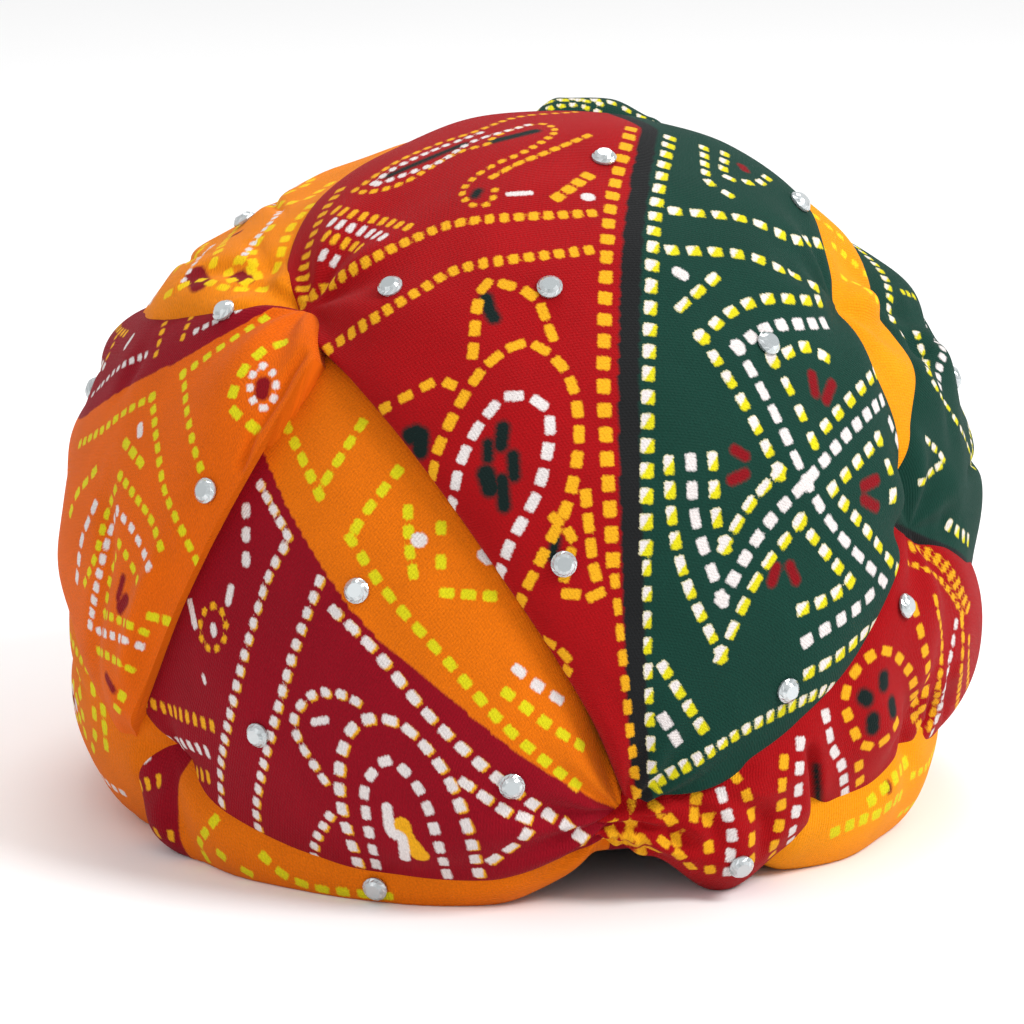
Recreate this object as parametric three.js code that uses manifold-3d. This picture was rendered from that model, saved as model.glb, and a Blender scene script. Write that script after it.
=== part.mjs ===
// Tied turban: a wound cloth body, hollow for the head, dressed with draped folds and sewn-on stones.
// Millimetres, +Z up, the front gather on -Y, the origin on the ground under the middle of the turban.
// A place on the turban is a direction from its heart: azimuth turns from the front (-Y) towards +X,
// elevation rises from the horizon, and rise is the height above the wound body. Angles are in degrees.
import * as THREE from "three";
import { mergeVertices } from "three/addons/utils/BufferGeometryUtils.js";
import Module from "manifold-3d";

const wasm = await Module();
wasm.setup();

// Head hollow
const HEAD_WIDTH = 166;
const HEAD_LENGTH = 194;
const HOLLOW_TOP = 148;

// Wound body, under the folds
const BODY_WIDTH = 234;
const BODY_LENGTH = 238;
const BODY_TOP = 180.5;
const HEART_X = 0.7;
const HEART_Y = -0.2;
const HEART_HEIGHT = 64.5;
const SKIRT_DROP = 122;
const ROUNDNESS = 2.2;
const RIM_HEIGHT = 12;

// Sewn-on stones
const STONE_DIAMETER = 7;
const STONE_HEIGHT = 2.4;
const STONE_GIRDLE = 0.7;
const STONE_TABLE_SHARE = 0.62;
const STONE_FACETS = 8;

// Gathered pleats: depth, and the share of the fold over which they fade
const PLEAT_DEPTH = 1.5;
const PLEAT_REACH = 0.4;

// Fit between pieces
const ROOT_DEPTH = -3;
const CLEARANCE = 0.4;
const STONE_SEAT = 0.3;

// Each fold is a table of sections along it. A section runs from its first edge (az1, el1) through its
// middle (azm, elm) to its second edge (az2, el2); without a middle it takes the shortest way.
// rise is the height of its outer face, and rise1 and rise2 are that of the cloth just inside each edge.
// seat is the height at which its edge starts to round over, and fullness squares the section:
// 2 is a roll, 4 a flat pad. pleats run along a fold from its gathered first section and fade out.
// Folds are listed from the lowest layer to the top one.
const FOLDS = [
  {
    name: "crown_back_wrap", colour: 0xe2890f, seat: 0, fullness: 3, steps: 14, sides: 7,
    sections: [
      { az1: -54, el1: 50, az2: -54, el2: 42, rise: 4 },
      { az1: -60, el1: 61, az2: -70, el2: 39, rise: 9, rise2: 24 },
      { az1: -72, el1: 72, az2: -86, el2: 35, rise: 10, rise2: 28 },
      { az1: -100, el1: 82, az2: -106, el2: 29, rise: 8, rise2: 20 },
      { az1: -150, el1: 86, az2: -135, el2: 22, rise: 9 },
      { az1: 170, el1: 86, az2: -168, el2: 20, rise: 11 },
      { az1: 130, el1: 82, az2: 158, el2: 22, rise: 12 },
      { az1: 110, el1: 74, az2: 132, el2: 30, rise: 10 },
      { az1: 100, el1: 66, az2: 112, el2: 40, rise: 6 },
    ],
  },
  {
    name: "lower_back_wrap", colour: 0xd9820f, seat: 0, fullness: 3, steps: 18, sides: 7,
    sections: [
      { az1: -66, el1: -15, az2: -66, el2: -27, rise: 6 },
      { az1: -76, el1: -6, az2: -76, el2: -31, rise: 13 },
      { az1: -87, el1: 2, az2: -87, el2: -33, rise: 16 },
      { az1: -108, el1: 6, az2: -108, el2: -33, rise: 15 },
      { az1: -145, el1: 8, az2: -145, el2: -33, rise: 12 },
      { az1: 180, el1: 8, az2: 180, el2: -33, rise: 12 },
      { az1: 145, el1: 6, az2: 145, el2: -33, rise: 12 },
      { az1: 110, el1: 3, az2: 110, el2: -33, rise: 11 },
      { az1: 82, el1: -1, az2: 82, el2: -32, rise: 9 },
      { az1: 66, el1: -6, az2: 66, el2: -28, rise: 5 },
    ],
  },
  {
    name: "right_rim_roll", colour: 0xe8941a, seat: 0, fullness: 2, steps: 12, sides: 8,
    sections: [
      { az1: 14, el1: -20, az2: 14, el2: -25, rise: 5 },
      { az1: 24, el1: -16, az2: 24, el2: -31, rise: 12 },
      { az1: 36, el1: -13, az2: 36, el2: -34, rise: 14 },
      { az1: 50, el1: -12, az2: 50, el2: -34, rise: 13 },
      { az1: 70, el1: -14, az2: 70, el2: -33, rise: 11 },
      { az1: 88, el1: -20, az2: 88, el2: -28, rise: 9 },
    ],
  },
  {
    name: "left_rim_roll", colour: 0xd98316, seat: 0, fullness: 2, steps: 14, sides: 8,
    sections: [
      { az1: -82, el1: -18, az2: -81, el2: -27, rise: 6 },
      { az1: -72, el1: -14, az2: -72, el2: -32, rise: 16 },
      { az1: -60, el1: -18, az2: -60, el2: -34, rise: 15 },
      { az1: -46, el1: -21, az2: -46, el2: -34, rise: 14 },
      { az1: -32, el1: -22, az2: -32, el2: -34, rise: 13 },
      { az1: -18, el1: -21, az2: -18, el2: -31, rise: 11 },
      { az1: -4, el1: -18, az2: -4, el2: -24, rise: 6 },
    ],
  },
  {
    name: "left_front_wrap", colour: 0x9c0f24, seat: 0, fullness: 3.4, steps: 14, sides: 10,
    sections: [
      { az1: -2, el1: -15, az2: -4, el2: -21, rise: 9, rise1: 7, rise2: 8 },
      { az1: -6, el1: -6, az2: -12, el2: -25, rise: 13, rise1: 7, rise2: 11 },
      { az1: -9, el1: 4, az2: -22, el2: -28, rise: 15, rise1: 7, rise2: 14 },
      { az1: -13, el1: 14, az2: -34, el2: -30, rise: 15, rise1: 7, rise2: 15 },
      { az1: -19, el1: 24, az2: -47, el2: -29, rise: 13, rise1: 7, rise2: 16 },
      { az1: -28, el1: 34, az2: -60, el2: -26, rise: 11, rise1: 7, rise2: 15 },
      { az1: -41, el1: 43, az2: -73, el2: -19, rise: 9, rise1: 6, rise2: 12 },
      { az1: -60, el1: 48, az2: -86, el2: -8, rise: 8, rise1: 5, rise2: 8 },
    ],
  },
  {
    name: "right_tuck_strip", colour: 0xf2a01c, seat: 0, fullness: 3, steps: 12, sides: 8,
    sections: [
      { az1: 38, el1: 14, az2: 46, el2: 15, rise: 7 },
      { az1: 39, el1: 24, az2: 56, el2: 23, rise: 10 },
      { az1: 40, el1: 34, az2: 66, el2: 30, rise: 12 },
      { az1: 43, el1: 44, az2: 77, el2: 36, rise: 13 },
      { az1: 52, el1: 53, az2: 90, el2: 41, rise: 14 },
      { az1: 74, el1: 60, az2: 103, el2: 45, rise: 15 },
      { az1: 96, el1: 66, az2: 116, el2: 50, rise: 15 },
      { az1: 116, el1: 68, az2: 124, el2: 58, rise: 13 },
    ],
  },
  {
    name: "left_flap", colour: 0xd86a08, seat: 10, fullness: 5, steps: 16, sides: 8,
    sections: [
      { az1: -48, el1: 38, azm: -57, elm: 14, az2: -76, el2: -16, rise: 14, rise2: 15 },
      { az1: -55, el1: 45, azm: -64, elm: 15, az2: -80, el2: -15, rise: 16, rise2: 18 },
      { az1: -70, el1: 43, azm: -76, elm: 16, az2: -86, el2: -10, rise: 16, rise2: 19 },
      { az1: -88, el1: 39, azm: -90, elm: 17, az2: -93, el2: -4, rise: 16, rise2: 18 },
      { az1: -108, el1: 35, azm: -109, elm: 17, az2: -110, el2: -1, rise: 16, rise2: 17 },
      { az1: -135, el1: 32, azm: -136, elm: 16, az2: -136, el2: 0, rise: 15 },
      { az1: -165, el1: 28, azm: -166, elm: 13, az2: -166, el2: -2, rise: 15 },
      { az1: 166, el1: 20, azm: 165, elm: 9, az2: 165, el2: -3, rise: 13 },
    ],
  },
  {
    name: "right_back_fold", colour: 0x123f2c, seat: 4, fullness: 2.8, steps: 16, sides: 8,
    sections: [
      { az1: 42, el1: 19, az2: 41, el2: 10, rise: 9 },
      { az1: 50, el1: 27, az2: 48, el2: 4, rise: 13 },
      { az1: 60, el1: 35, az2: 58, el2: -1, rise: 16, rise1: 17 },
      { az1: 73, el1: 43, az2: 71, el2: -4, rise: 18, rise1: 20 },
      { az1: 90, el1: 48, az2: 89, el2: -5, rise: 18, rise1: 21 },
      { az1: 115, el1: 47, az2: 114, el2: -4, rise: 18 },
      { az1: 145, el1: 40, az2: 144, el2: -2, rise: 18 },
      { az1: 172, el1: 31, az2: 172, el2: 2, rise: 19 },
      { az1: -166, el1: 22, az2: -165, el2: 8, rise: 17 },
    ],
  },
  {
    name: "right_front_roll", colour: 0xa8142a, seat: 2, fullness: 2.4, steps: 20, sides: 11, pleats: 3,
    sections: [
      { az1: -6, el1: -16, az2: -7, el2: -21, rise: 10 },
      { az1: 2, el1: -12, az2: 3, el2: -25, rise: 13 },
      { az1: 12, el1: -7, az2: 13, el2: -31, rise: 16 },
      { az1: 19, el1: -4, az2: 21, el2: -27, rise: 15 },
      { az1: 25, el1: 0, az2: 27, el2: -24, rise: 12 },
      { az1: 33, el1: 7, az2: 35, el2: -22, rise: 15 },
      { az1: 41, el1: 16, az2: 43, el2: -20, rise: 14 },
      { az1: 54, el1: 12, az2: 57, el2: -21, rise: 16 },
      { az1: 70, el1: 5, az2: 72, el2: -21, rise: 17 },
      { az1: 90, el1: -2, az2: 92, el2: -20, rise: 16 },
      { az1: 108, el1: -8, az2: 109, el2: -15, rise: 14 },
    ],
  },
  {
    name: "top_tuck", colour: 0x1a5238, seat: 6, fullness: 2, steps: 8, sides: 6,
    sections: [
      { az1: 165, el1: 86, az2: 160, el2: 74, rise: 14 },
      { az1: 130, el1: 84, az2: 144, el2: 71, rise: 20 },
      { az1: 112, el1: 79, az2: 129, el2: 67, rise: 21 },
      { az1: 105, el1: 74, az2: 117, el2: 64, rise: 18 },
      { az1: 102, el1: 70, az2: 110, el2: 63, rise: 14 },
    ],
  },
  {
    name: "front_panel", colour: 0xb3141f, seat: 8, fullness: 4, steps: 18, sides: 10,
    sections: [
      { az1: -3, el1: -14.5, azm: -1.5, elm: -14.5, az2: 0.5, el2: -15, rise: 12 },
      { az1: -7, el1: -5, azm: -2, elm: -6, az2: 11, el2: -13, rise: 14, rise1: 13, rise2: 14 },
      { az1: -12, el1: 4, azm: -1, elm: 2, az2: 21, el2: -7, rise: 15, rise1: 14, rise2: 16 },
      { az1: -18, el1: 13, azm: 1, elm: 11, az2: 32, el2: 1, rise: 15, rise1: 14, rise2: 17 },
      { az1: -25, el1: 22, azm: 4, elm: 21, az2: 41, el2: 12, rise: 15, rise1: 14, rise2: 17 },
      { az1: -33, el1: 30, azm: 6, elm: 31, az2: 46, el2: 24, rise: 15, rise1: 13, rise2: 17 },
      { az1: -43, el1: 37, azm: 8, elm: 42, az2: 49, el2: 36, rise: 15, rise1: 13, rise2: 17 },
      { az1: -56, el1: 43, azm: 10, elm: 54, az2: 57, el2: 45, rise: 16, rise1: 13, rise2: 18 },
      { az1: -69, el1: 51, azm: 15, elm: 66, az2: 76, el2: 52, rise: 17, rise1: 13, rise2: 20 },
      { az1: -82, el1: 60, azm: 25, elm: 77, az2: 92, el2: 58, rise: 19, rise1: 14, rise2: 20 },
      { az1: -104, el1: 71, azm: 90, elm: 83, az2: 106, el2: 64, rise: 18, rise1: 14, rise2: 17 },
    ],
  },
];

// Hollows pressed into the outer faces: where a fold is pinched or stitched down
const DENTS = [
  { name: "left pinch", az: -57, el: 46, reach: 13, depth: 5 },
  { name: "panel dimple", az: 50, el: 42, reach: 13, depth: 5 },
  { name: "front gather", az: -3, el: -17, reach: 13, depth: 3 },
  { name: "right pinch", az: 46, el: 12, reach: 11, depth: 5 },
  { name: "hollow over the right fold", az: 68, el: 37, reach: 11, depth: 4 },
  { name: "right rim crease", az: 43, el: -12, reach: 9, depth: 4 },
  { name: "left rim gap", az: -69, el: -17, reach: 9, depth: 4 },
];

// Stones that show from the front, then those over the sides and back, by azimuth and elevation
const FRONT_STONES = [
  { az: -39, el: 48 },
  { az: -11, el: 48 },
  { az: 14, el: 70 },
  { az: 61, el: 54 },
  { az: 22, el: 38 },
  { az: -11, el: 15 },
  { az: -36, el: 11 },
  { az: -58, el: 20 },
  { az: -69, el: 41 },
  { az: -49, el: -8 },
  { az: -17, el: -11 },
  { az: 12, el: -23 },
  { az: 16.5, el: -2 },
  { az: 38, el: 4 },
  { az: -35, el: -26.5 },
];
const BACK_STONES = [
  { az: 76, el: 24 },
  { az: 104, el: 32 },
  { az: 128, el: 12 },
  { az: 158, el: 26 },
  { az: -112, el: 22 },
  { az: -142, el: 12 },
  { az: -124, el: -12 },
  { az: 176, el: -12 },
  { az: 124, el: -14 },
  { az: -110, el: 52 },
  { az: -162, el: 56 },
  { az: 152, el: 54 },
];

const heart = new THREE.Vector3(HEART_X, HEART_Y, HEART_HEIGHT);

function direction(azimuth, elevation) {
  const lift = THREE.MathUtils.degToRad(elevation);
  const turn = THREE.MathUtils.degToRad(azimuth);
  const level = Math.cos(lift);
  return new THREE.Vector3(level * Math.sin(turn), -level * Math.cos(turn), Math.sin(lift));
}

// Distance from the heart to the wound body's face along a direction
function bodyRadius(d) {
  const across = Math.hypot(d.x / (BODY_WIDTH / 2), d.y / (BODY_LENGTH / 2));
  const along = d.z > 0 ? d.z / (BODY_TOP - HEART_HEIGHT) : -d.z / SKIRT_DROP;
  return (across ** ROUNDNESS + along ** ROUNDNESS) ** (-1 / ROUNDNESS);
}

function placeOn(d, rise) {
  return heart.clone().addScaledVector(d, bodyRadius(d) + rise);
}

// A closed mesh that faces out, from equal rings of points, with a fan over the first ring and the last
function ringsToGeometry(rings) {
  const count = rings[0].length;
  const points = rings.flat();
  const triangles = [];
  for (let r = 0; r + 1 < rings.length; r++) {
    for (let k = 0; k < count; k++) {
      const a = r * count + k;
      const b = r * count + ((k + 1) % count);
      triangles.push(a, b, a + count, b, b + count, a + count);
    }
  }
  for (const [ring, turned] of [[0, true], [rings.length - 1, false]]) {
    const middle = points.length;
    const sum = rings[ring].reduce((total, p) => total.add(p), new THREE.Vector3());
    points.push(sum.divideScalar(count));
    for (let k = 0; k < count; k++) {
      const a = ring * count + k;
      const b = ring * count + ((k + 1) % count);
      triangles.push(...(turned ? [b, a, middle] : [a, b, middle]));
    }
  }
  let volume = 0;
  for (let i = 0; i < triangles.length; i += 3) {
    const [a, b, c] = triangles.slice(i, i + 3).map((n) => points[n]);
    volume += a.dot(b.clone().cross(c));
  }
  const geometry = new THREE.BufferGeometry().setFromPoints(points);
  geometry.setIndex(volume > 0 ? triangles : triangles.reverse());
  return geometry;
}

function toSolid(geometry) {
  const bare = new THREE.BufferGeometry();
  bare.setAttribute("position", geometry.getAttribute("position"));
  bare.setIndex(geometry.getIndex());
  const merged = mergeVertices(bare, 1e-4);
  const mesh = new wasm.Mesh({
    numProp: 3,
    vertProperties: new Float32Array(merged.getAttribute("position").array),
    triVerts: new Uint32Array(merged.getIndex().array),
  });
  return new wasm.Manifold(mesh);
}

function toGeometry(solid) {
  const { numProp, vertProperties, triVerts } = solid.getMesh();
  const points = new THREE.InterleavedBuffer(new Float32Array(vertProperties), numProp);
  const geometry = new THREE.BufferGeometry();
  geometry.setAttribute("position", new THREE.InterleavedBufferAttribute(points, 3, 0));
  geometry.setIndex(Array.from(triVerts));
  return geometry.toNonIndexed();
}

// The same geometry with its skin moved out by a distance
function swollen(geometry, distance) {
  const copy = geometry.clone();
  copy.computeVertexNormals();
  const position = copy.getAttribute("position");
  const normal = copy.getAttribute("normal");
  for (let i = 0; i < position.count; i++) {
    position.setXYZ(
      i,
      position.getX(i) + normal.getX(i) * distance,
      position.getY(i) + normal.getY(i) * distance,
      position.getZ(i) + normal.getZ(i) * distance,
    );
  }
  return copy;
}

function largestBody(solid) {
  return solid.decompose().reduce((best, body) => (body.volume() > best.volume() ? body : best));
}

// Wound body: a dome whose inside is the head hollow, open below at the rim
function bodyGeometry() {
  const turns = 32;
  const outerRows = 10;
  const hollowRows = 7;
  const rimElevation = -THREE.MathUtils.radToDeg(Math.atan2(HEART_HEIGHT - RIM_HEIGHT, BODY_WIDTH / 2 - 5));
  const ring = (d, point) => Array.from({ length: turns }, (_, k) => point(d, (360 * k) / turns));
  const onBody = (elevation, azimuth) => {
    const p = placeOn(direction(azimuth, elevation), 0);
    return new THREE.Vector3(p.x, p.y, Math.max(p.z, RIM_HEIGHT));
  };
  const onHollow = (share, azimuth) => {
    const climb = (share * Math.PI) / 2;
    const turn = THREE.MathUtils.degToRad(azimuth);
    const width = Math.cos(climb) ** (2 / ROUNDNESS);
    return new THREE.Vector3(
      HEART_X + (HEAD_WIDTH / 2) * width * Math.sin(turn),
      HEART_Y - (HEAD_LENGTH / 2) * width * Math.cos(turn),
      RIM_HEIGHT + (HOLLOW_TOP - RIM_HEIGHT) * Math.sin(climb) ** (2 / ROUNDNESS),
    );
  };
  const rings = [];
  for (let i = 0; i < outerRows; i++) {
    rings.push(ring(84 + ((rimElevation - 84) * i) / (outerRows - 1), onBody));
  }
  for (let i = 0; i < hollowRows; i++) {
    rings.push(ring((0.95 * i) / (hollowRows - 1), onHollow));
  }
  return ringsToGeometry(rings);
}

// A smooth run of directions through the rows of a table
function spine(directions) {
  const curve = new THREE.CatmullRomCurve3(directions, false, "centripetal");
  return (t) => curve.getPoint(t).normalize();
}

// Height of the cloth between its two edges and its middle
function bowed(first, middle, second, v) {
  return first * (1 - v) * (1 - 2 * v) + middle * 4 * v * (1 - v) + second * v * (2 * v - 1);
}

// How far the pinches press the cloth in at a direction
function dentDepth(d) {
  return DENTS.reduce((sum, dent) => {
    const distance = direction(dent.az, dent.el).angleTo(d) * bodyRadius(d);
    return sum + dent.depth * Math.exp(-((distance / dent.reach) ** 2));
  }, 0);
}

function foldGeometry({ sections, seat, fullness, steps, sides, pleats = 0 }) {
  const underSides = 3;
  const firstEdge = spine(sections.map((s) => direction(s.az1, s.el1)));
  const secondEdge = spine(sections.map((s) => direction(s.az2, s.el2)));
  const middle = spine(
    sections.map((s) =>
      s.azm === undefined
        ? direction(s.az1, s.el1).add(direction(s.az2, s.el2)).normalize()
        : direction(s.azm, s.elm),
    ),
  );
  const along = (column, t) => {
    const place = t * (sections.length - 1);
    const i = Math.min(Math.floor(place), sections.length - 2);
    const here = sections[i][column] ?? sections[i].rise;
    const next = sections[i + 1][column] ?? sections[i + 1].rise;
    return THREE.MathUtils.lerp(here, next, THREE.MathUtils.smoothstep(place - i, 0, 1));
  };
  const pleat = (v, t) =>
    pleats ? PLEAT_DEPTH * Math.cos(2 * Math.PI * pleats * v) * Math.max(0, 1 - t / PLEAT_REACH) : 0;
  const rings = [];
  for (let i = 0; i <= steps; i++) {
    const t = i / steps;
    const [a, m, b] = [firstEdge(t), middle(t), secondEdge(t)];
    const across = (v) =>
      new THREE.Vector3(
        bowed(a.x, m.x, b.x, v),
        bowed(a.y, m.y, b.y, v),
        bowed(a.z, m.z, b.z, v),
      ).normalize();
    const ring = [];
    for (let k = 0; k <= sides; k++) {
      const v = (1 - Math.cos((Math.PI * k) / sides)) / 2;
      const height = bowed(along("rise1", t), along("rise", t), along("rise2", t), v) - seat;
      const rounding = Math.sqrt(Math.max(0, 1 - Math.abs(2 * v - 1) ** fullness));
      const d = across(v);
      ring.push(placeOn(d, seat + (height + pleat(v, t)) * rounding - dentDepth(d)));
    }
    for (let k = underSides; k >= 0; k--) {
      ring.push(placeOn(across(k / underSides), ROOT_DEPTH));
    }
    rings.push(ring);
  }
  return ringsToGeometry(rings);
}

const ground = new THREE.BoxGeometry(600, 600, 200);
ground.translate(0, 0, -100);
const groundSolid = toSolid(ground);

// Lower layers are kept slightly swollen, so that each layer laid over them stops a hair's breadth short
const turban = new THREE.Group();
const addMesh = (name, geometry, colour, roughness, metalness) => {
  const material = new THREE.MeshStandardMaterial({ color: colour, roughness, metalness });
  const mesh = new THREE.Mesh(geometry, material);
  mesh.name = name;
  turban.add(mesh);
  return mesh;
};

const body = bodyGeometry();
addMesh("wound_body", toGeometry(toSolid(body)), 0x7a1220, 0.9, 0);
let laid = toSolid(swollen(body, CLEARANCE));
for (const fold of FOLDS) {
  const shape = foldGeometry(fold);
  const solid = largestBody(toSolid(shape).subtract(laid).subtract(groundSolid));
  addMesh(fold.name, toGeometry(solid), fold.colour, 0.85, 0);
  laid = laid.add(toSolid(swollen(shape, CLEARANCE)));
}

// A cut stone: flat back, girdle, eight crown facets and a table
function stoneGeometry() {
  const radius = STONE_DIAMETER / 2;
  const profile = [
    new THREE.Vector2(0, 0),
    new THREE.Vector2(radius, 0),
    new THREE.Vector2(radius, STONE_GIRDLE),
    new THREE.Vector2(radius * STONE_TABLE_SHARE, STONE_HEIGHT),
    new THREE.Vector2(0, STONE_HEIGHT),
  ];
  const lathe = new THREE.LatheGeometry(profile, STONE_FACETS);
  return lathe.rotateX(Math.PI / 2);
}

const cloth = [...turban.children];
const caster = new THREE.Raycaster();

// Sets a stone on the outermost cloth along a direction, lifted until it clears the cloth
function setStone({ az, el }, index) {
  const outward = direction(az, el);
  caster.set(heart.clone().addScaledVector(outward, 400), outward.clone().negate());
  const seat = caster.intersectObjects(cloth, false)[0];
  const turn = new THREE.Quaternion().setFromUnitVectors(new THREE.Vector3(0, 0, 1), seat.face.normal);
  const solids = cloth.map((mesh) => toSolid(mesh.geometry));
  let lift = STONE_SEAT;
  let geometry;
  do {
    geometry = stoneGeometry().applyQuaternion(turn);
    const foot = seat.point.clone().addScaledVector(seat.face.normal, lift);
    geometry.translate(foot.x, foot.y, foot.z);
    lift += 0.1;
  } while (solids.some((solid) => solid.intersect(toSolid(geometry)).volume() > 1e-4));
  addMesh(`stone_${String(index + 1).padStart(2, "0")}`, geometry, 0xdfe6ea, 0.12, 0.1);
}
[...FRONT_STONES, ...BACK_STONES].forEach(setStone);

export default turban;
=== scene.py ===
import math

import bpy
import numpy as np
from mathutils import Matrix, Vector
from mathutils.bvhtree import BVHTree


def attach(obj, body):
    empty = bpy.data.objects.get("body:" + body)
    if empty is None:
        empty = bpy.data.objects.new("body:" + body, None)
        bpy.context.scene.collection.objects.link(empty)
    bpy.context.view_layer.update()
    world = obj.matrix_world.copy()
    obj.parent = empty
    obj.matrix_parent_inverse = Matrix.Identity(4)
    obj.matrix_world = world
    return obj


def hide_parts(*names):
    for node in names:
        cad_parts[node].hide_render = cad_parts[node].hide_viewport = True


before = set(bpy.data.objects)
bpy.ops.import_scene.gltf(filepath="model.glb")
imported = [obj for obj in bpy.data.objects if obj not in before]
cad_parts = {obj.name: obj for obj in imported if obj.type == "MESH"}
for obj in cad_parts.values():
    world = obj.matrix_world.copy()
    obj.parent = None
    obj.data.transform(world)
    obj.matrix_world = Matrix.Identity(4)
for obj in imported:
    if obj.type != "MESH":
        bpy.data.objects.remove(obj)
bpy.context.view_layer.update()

# Real sizes in millimetres, as in the part's source
MM = 0.001
HEART = np.array([0.7, -0.2, 64.5])
BODY_WIDTH = 234.0
BODY_LENGTH = 238.0
BODY_TOP = 180.5
SKIRT_DROP = 122.0
ROUNDNESS = 2.2
RIM_HEIGHT = 12.0
HEAD_WIDTH = 166.0
HEAD_LENGTH = 194.0
HOLLOW_TOP = 148.0
ROOT_DEPTH = -3.0
PLEAT_DEPTH = 1.5
PLEAT_REACH = 0.4
FLOOR_CLEAR = 0.15
UNDER_COLUMNS = 7
EVEN_SHARE = 0.6
UNEVENNESS = 0.16
CREASE_RING = 16.0
CREASE_SPREAD = 15.0
CREASE_CORE = 8.0
DRAPE_FADE_IN = 0.15
DRAPE_FADE_OUT = 0.12
BODY_TURNS = 128
OUTER_RINGS = 40
INNER_RINGS = 48
TURN_RELIEF = 0.8
STONE_RADIUS = 3.5
STONE_SIDES = 16

# Printed inks, the distance that stands for none, and a side value for cloth of one ground
INKS = ("yellow", "white", "dark", "petal")
NO_INK = -3.0
ONE_GROUND = 50.0

# Camera: turned to the left of the front and raised, with the photo's frame of 1024 pixels
CAMERA_AZIMUTH = -16.0
CAMERA_ELEVATION = 14.0
CAMERA_DISTANCE = 1400.0
CAMERA_TARGET = np.array([-1.51, 0.43, 81.1])
PIXELS_PER_MM = 3.45
PHOTO_SIZE = 1024.0
SENSOR_MM = 36.0

RNG = np.random.default_rng(7)


def row(az1, el1, az2, el2, rise, rise1=None, rise2=None, middle=None):
    """One section of a fold: its two edges and maybe its middle, each as azimuth and elevation in degrees.

    rise is the height of the outer face in millimetres, rise1 and rise2 that just inside each edge."""
    return dict(edges=((az1, el1), (az2, el2)), middle=middle, rise=rise,
                rise1=rise if rise1 is None else rise1, rise2=rise if rise2 is None else rise2)


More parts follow.
